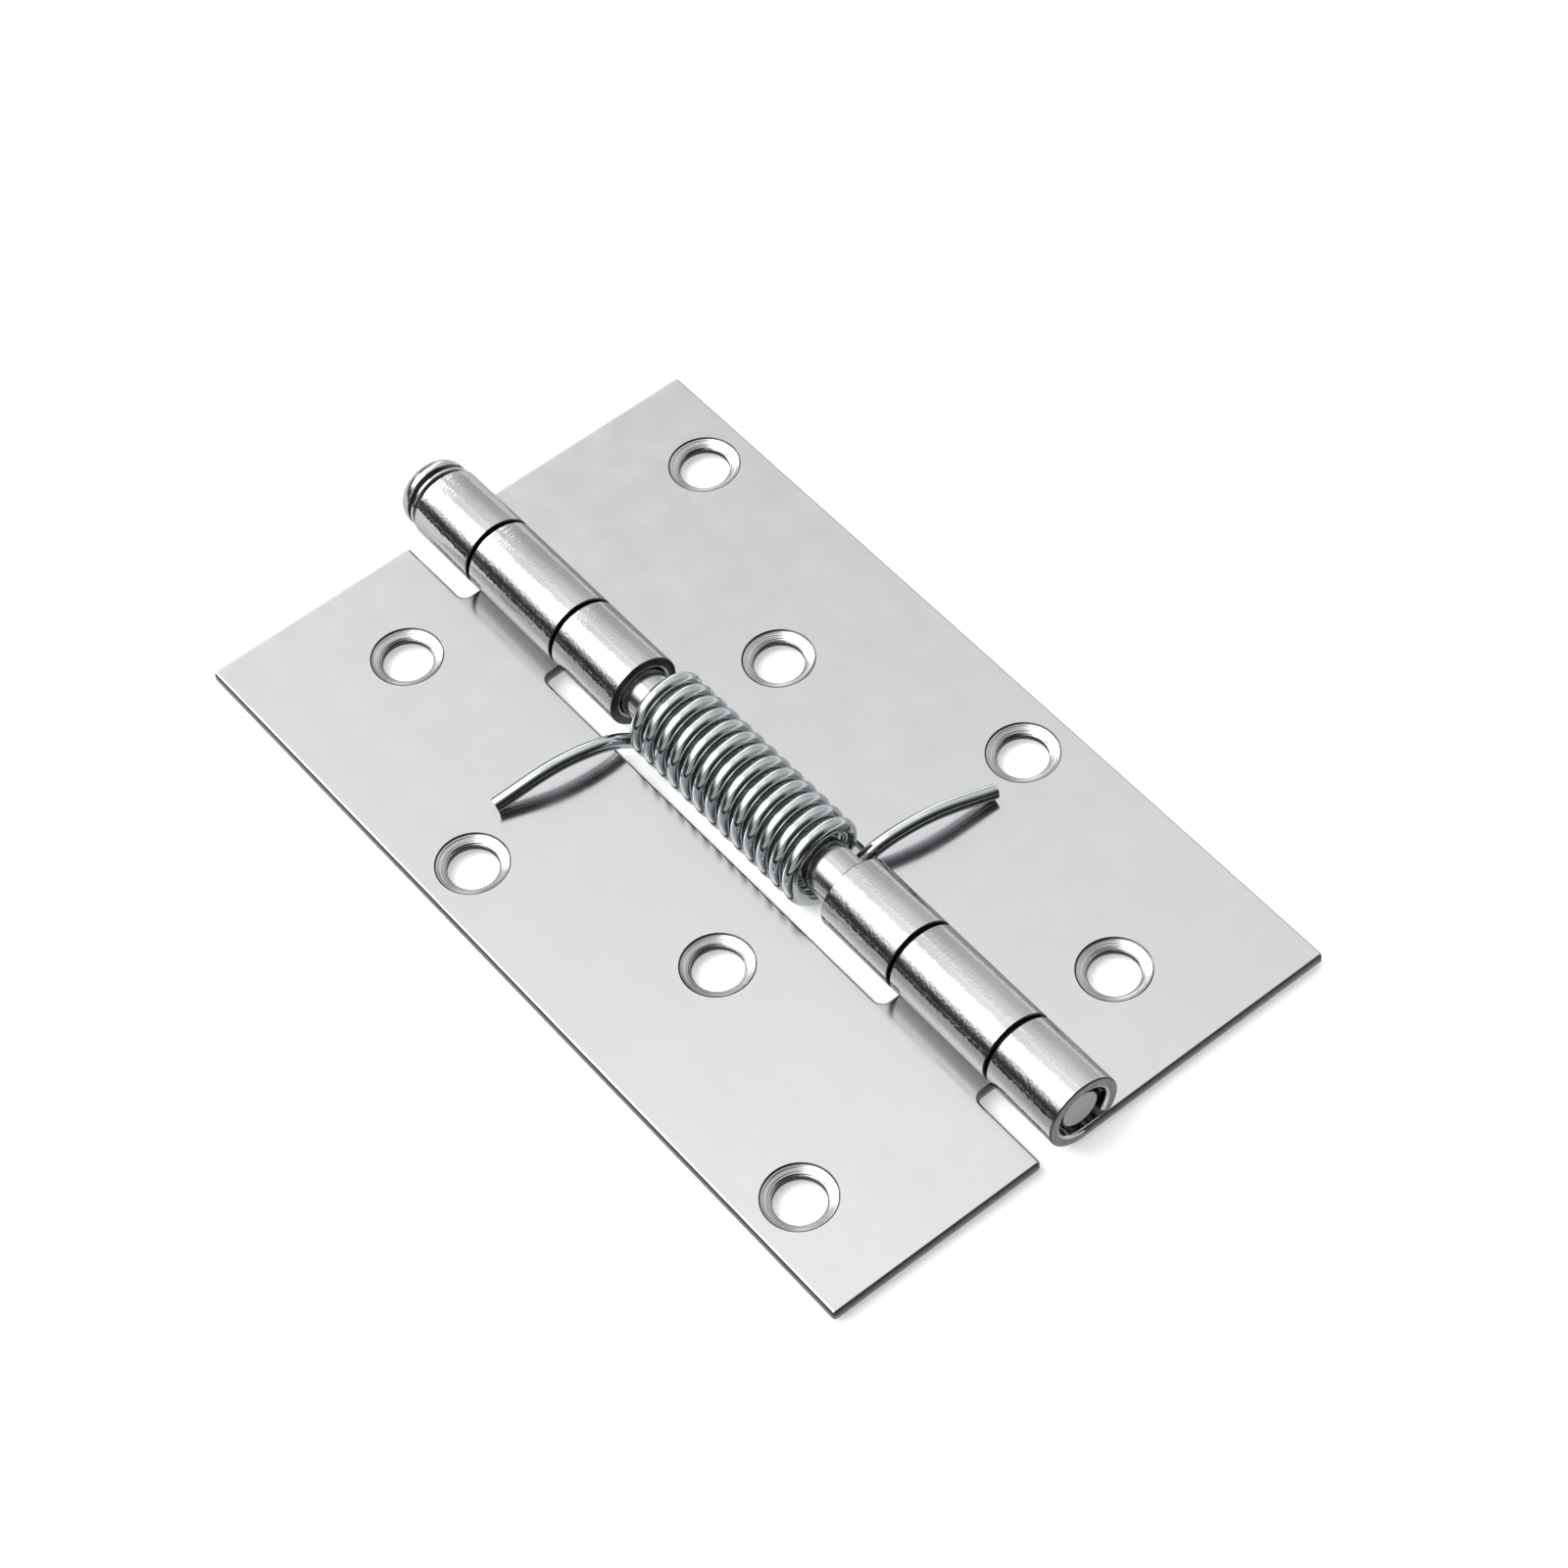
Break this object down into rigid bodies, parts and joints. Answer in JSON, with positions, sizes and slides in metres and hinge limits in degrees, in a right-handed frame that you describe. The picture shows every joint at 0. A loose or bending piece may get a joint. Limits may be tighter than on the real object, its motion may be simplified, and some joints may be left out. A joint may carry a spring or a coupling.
{
  "type": "spring loaded door hinge",
  "caption": "Butt hinge of bare steel: countersunk leaves rolled round a domed pin, with a coiled torsion spring whose bent legs press the leaves back to flat.",
  "frame": {"origin": "on the pin's axis, halfway along the whole hinge with the pin's head, which is 1.75 mm from the middle of the leaves towards the head", "axes": "+Y along the pin towards its head, +X across the leaf with the knuckles at its ends, +Z out of the countersunk faces; the leaves' backs lie at Z = -4.1 mm"},
  "size_m": [0.06, 0.1036, 0.0096],
  "materials": {
    "leaf_steel": "satin leaf faces, polished knuckles",
    "pin_steel": "polished",
    "spring_wire": "bright zinc plating"
  },
  "bodies": {
    "right_side": {"right_leaf": "leaf_steel", "hinge_pin": "pin_steel", "torsion_spring": "spring_wire"},
    "left_side": {"left_leaf": "leaf_steel"}
  },
  "joints": [
    {"name": "leaf_swing", "type": "hinge", "parent": "right_side", "child": "left_side", "pos_m": [0, 0, 0], "axis": [0, 1, 0], "range_deg": [-90, 180], "stiffness_Nm_per_rad": 0.19, "deforming": ["torsion_spring"]}
  ]
}
